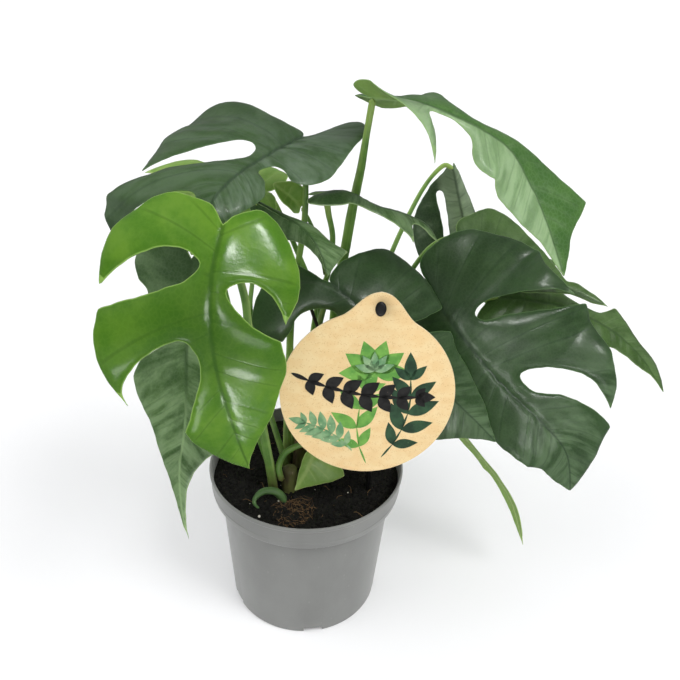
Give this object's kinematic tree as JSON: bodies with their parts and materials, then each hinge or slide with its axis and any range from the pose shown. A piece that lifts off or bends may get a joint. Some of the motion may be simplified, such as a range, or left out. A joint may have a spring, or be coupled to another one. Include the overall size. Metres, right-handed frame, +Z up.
{
  "type": "potted mini monstera",
  "caption": "Young split-leaf climbing plant in a tapered nursery pot of soil, with a round card tag on a stake.",
  "frame": {"origin": "middle of the pot's underside, on the plane it stands on", "axes": "+Z up along the pot's axis, -Y towards the face of the tag, +X to the viewer's right"},
  "size_m": [0.3404, 0.208, 0.3298],
  "materials": {
    "pot_plastic": "grey, satin",
    "soil": "loose dark peat and coir, matte",
    "kraft_card": "kraft card, matte",
    "black_plastic": "black, satin",
    "pale_sheath": "dry leaf sheath, matte",
    "stem": "dark brown-green stem",
    "stalk": "green leaf stalk, satin",
    "leaf_bright": "bright green, glossy",
    "leaf_dark": "dark green, waxy",
    "leaf_mid": "mid green, waxy",
    "leaf_young": "young yellow-green"
  },
  "bodies": {
    "root": {"pot": "pot_plastic", "soil": "soil", "tag": "kraft_card", "tag_stake": "black_plastic", "support_stick": "black_plastic", "curled_sheath": "pale_sheath", "stem_front": "stem", "stem_middle": "stem", "stem_right": "stem", "stem_rear": "stem", "leaf_front_left": "leaf_bright", "leaf_upper_left": "leaf_dark", "leaf_top_right": "leaf_mid", "leaf_right": "leaf_dark", "leaf_centre": "leaf_dark", "leaf_lower_left": "leaf_dark", "leaf_right_rear": "leaf_mid", "leaf_right_upper": "leaf_mid", "leaf_middle_arch": "leaf_mid", "leaf_back_right": "leaf_dark", "leaf_small_centre": "leaf_mid", "leaf_low_right": "leaf_young", "leaf_back_left": "leaf_young", "leaf_young_by_soil": "leaf_young", "leaf_young_curled": "leaf_mid", "petiole_front_left": "stalk", "petiole_upper_left": "stalk", "petiole_top_right": "stalk", "petiole_right": "stalk", "petiole_centre": "stalk", "petiole_lower_left": "stalk", "petiole_right_rear": "stalk", "petiole_right_upper": "stalk", "petiole_middle_arch": "stalk", "petiole_back_right": "stalk", "petiole_small_centre": "stalk", "petiole_low_right": "stalk", "petiole_back_left": "stalk", "petiole_young_by_soil": "stalk"}
  },
  "joints": []
}
